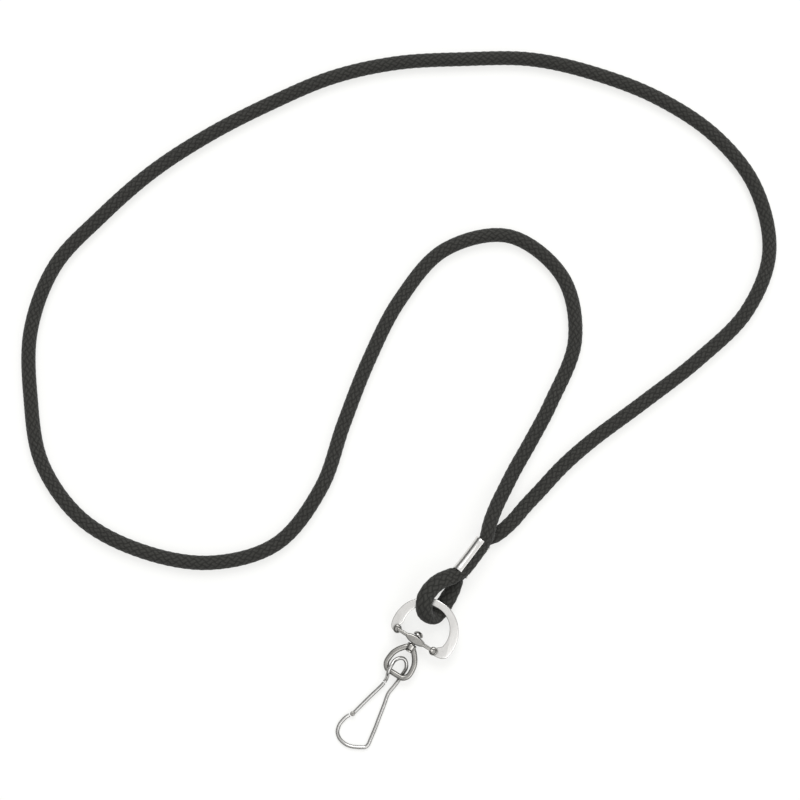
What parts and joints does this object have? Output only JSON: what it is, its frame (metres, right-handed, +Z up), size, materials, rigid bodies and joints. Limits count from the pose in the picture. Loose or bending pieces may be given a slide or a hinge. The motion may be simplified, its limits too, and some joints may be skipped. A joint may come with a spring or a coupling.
{
  "type": "neck lanyard",
  "caption": "Neck loop of round braided cord, crimped onto a D-ring with a rivet swivel and a spring-wire snap hook that clips to a badge.",
  "frame": {"origin": "bottom centre of the hardware's box, on the plane that the lanyard lies on", "axes": "+Y runs along the hardware from the snap hook to the crimp and the neck loop, +Z is up from the plane, and the gate is on the -X side"},
  "size_m": [0.1952, 0.2263, 0.0115],
  "materials": {
    "cord_black": "matte braided polyester",
    "nickel_plate": "bright nickel plate, lightly worn",
    "spring_wire": "drawn and plated spring wire"
  },
  "bodies": {
    "cord": {"neck_cord": "cord_black", "cord_bight": "cord_black", "crimp_sleeve": "nickel_plate"},
    "ring": {"d_ring": "nickel_plate"},
    "swivel": {"swivel_rivet": "nickel_plate", "swivel_link": "nickel_plate"},
    "hook": {"snap_hook": "spring_wire"},
    "gate": {"hook_gate": "spring_wire"}
  },
  "joints": [
    {"name": "ring_swing", "type": "hinge", "parent": "cord", "child": "ring", "pos_m": [-0.00235, 0.01357, 0.00555], "axis": [1, 0, 0], "range_deg": [-60, 60], "deforming": ["cord_bight"]},
    {"name": "swivel_turn", "type": "hinge", "parent": "ring", "child": "swivel", "pos_m": [-0.00105, 0.00093, 0.00392], "axis": [0, 0.9918, 0.1277], "continuous": true},
    {"name": "hook_swing", "type": "hinge", "parent": "swivel", "child": "hook", "pos_m": [-0.00105, -0.01088, 0.0024], "axis": [1, 0, 0], "range_deg": [-80, 80]},
    {"name": "gate_open", "type": "hinge", "parent": "hook", "child": "gate", "pos_m": [-0.00235, -0.01473, 0.0017], "axis": [0, 0, 1], "range_deg": [0, 15], "stiffness_Nm_per_rad": 0.12, "springref_deg": -2.86}
  ]
}
